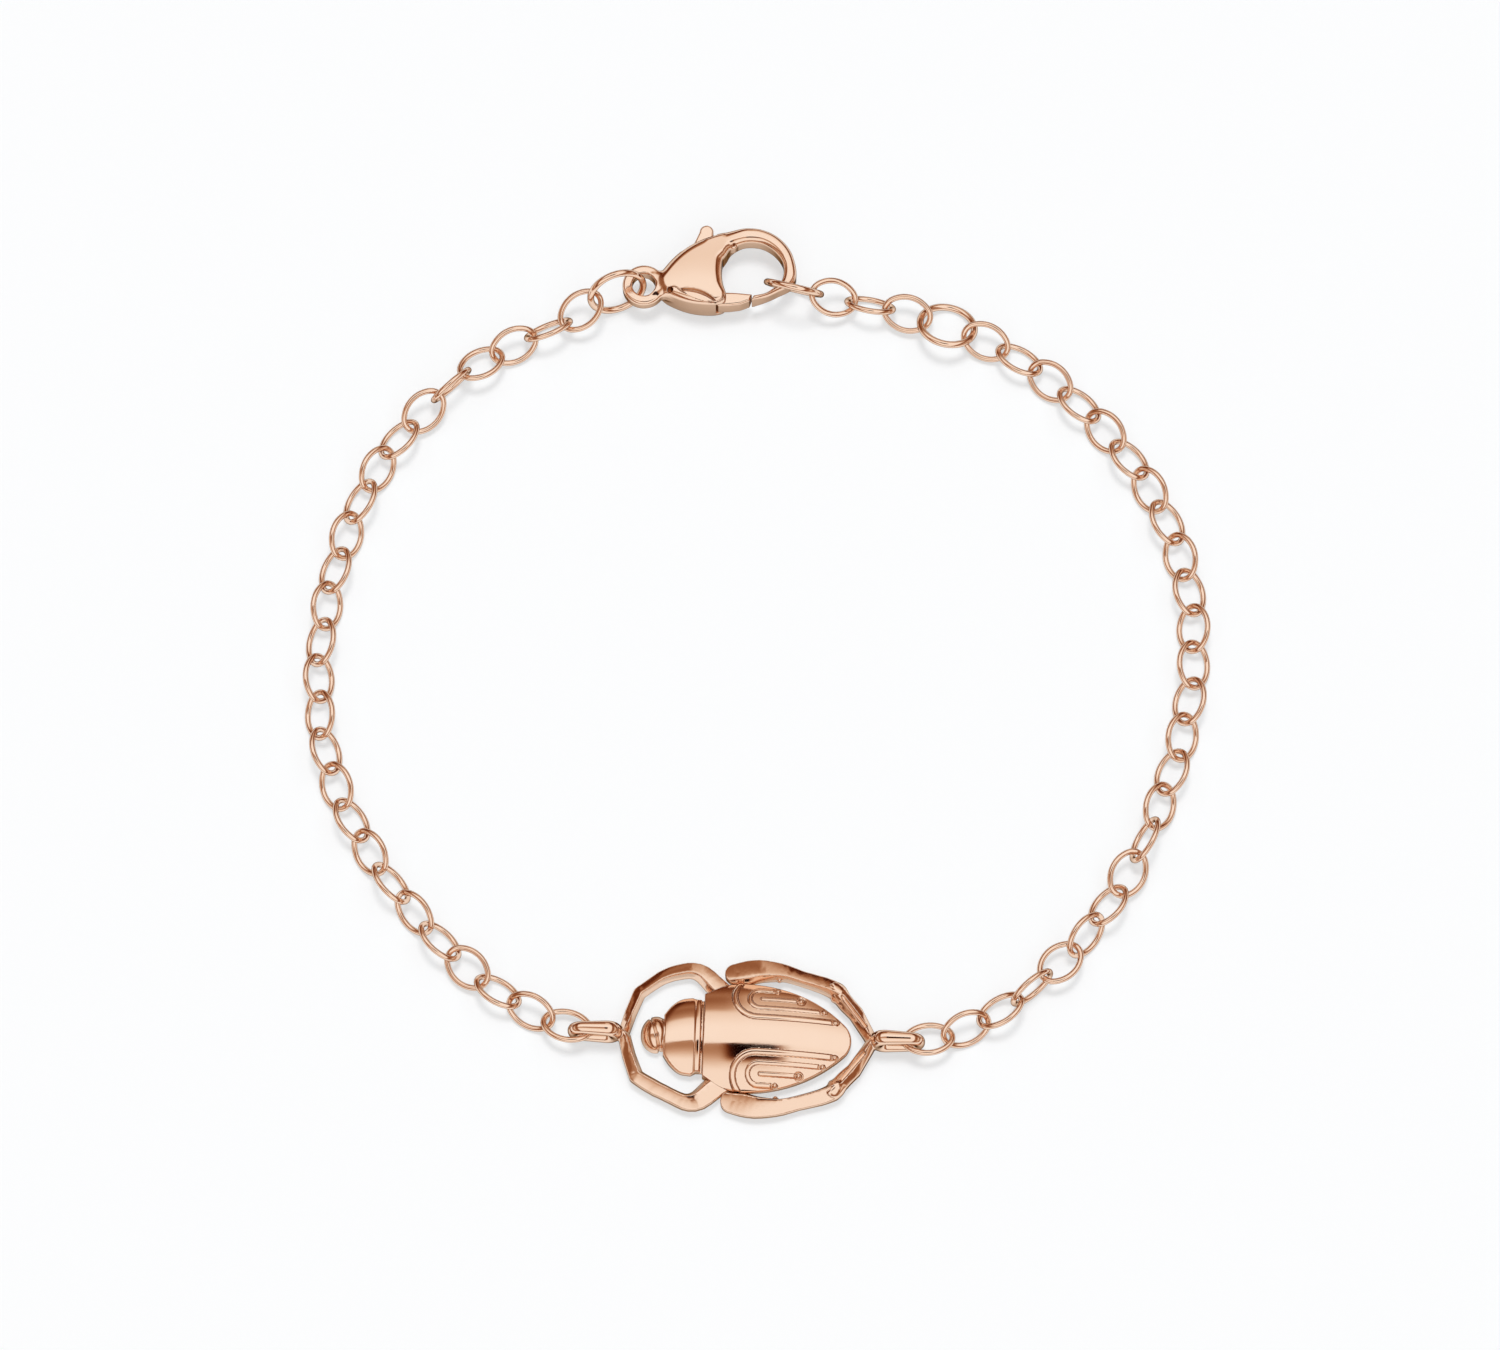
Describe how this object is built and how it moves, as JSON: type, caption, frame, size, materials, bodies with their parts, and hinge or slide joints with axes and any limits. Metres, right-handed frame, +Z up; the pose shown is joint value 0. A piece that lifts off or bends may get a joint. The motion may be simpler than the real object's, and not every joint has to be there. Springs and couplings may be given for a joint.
{
  "type": "scarab bracelet",
  "caption": "Fine oval-link chain bracelet lying closed in a loop, with a cast scarab between two upright wire bails and a sprung lobster clasp.",
  "frame": {"origin": "centre of the whole bracelet's footprint, on the surface it lies on", "axes": "+Z up from the surface, +Y from the scarab towards the clasp, +X from the scarab's head towards its tail"},
  "size_m": [0.0606, 0.063, 0.0041],
  "materials": {
    "rose_gold": "polished rose gold",
    "scarab_gold": "polished cast rose gold",
    "lever_gold": "polished rose gold"
  },
  "bodies": {
    "bracelet": {"scarab": "scarab_gold", "chain_left": "rose_gold", "chain_right": "rose_gold", "chain_end": "rose_gold", "jump_ring": "rose_gold", "end_ring": "rose_gold", "sizing_ring": "rose_gold", "clasp_shell": "rose_gold", "clasp_pin": "rose_gold"},
    "lever": {"clasp_lever": "lever_gold"}
  },
  "joints": [
    {"name": "lever_hinge", "type": "hinge", "parent": "bracelet", "child": "lever", "pos_m": [-0.00416, 0.02758, 0.0014], "axis": [0, 0, 1], "range_deg": [0, 20], "stiffness_Nm_per_rad": 0.002, "springref_deg": -20.05}
  ]
}
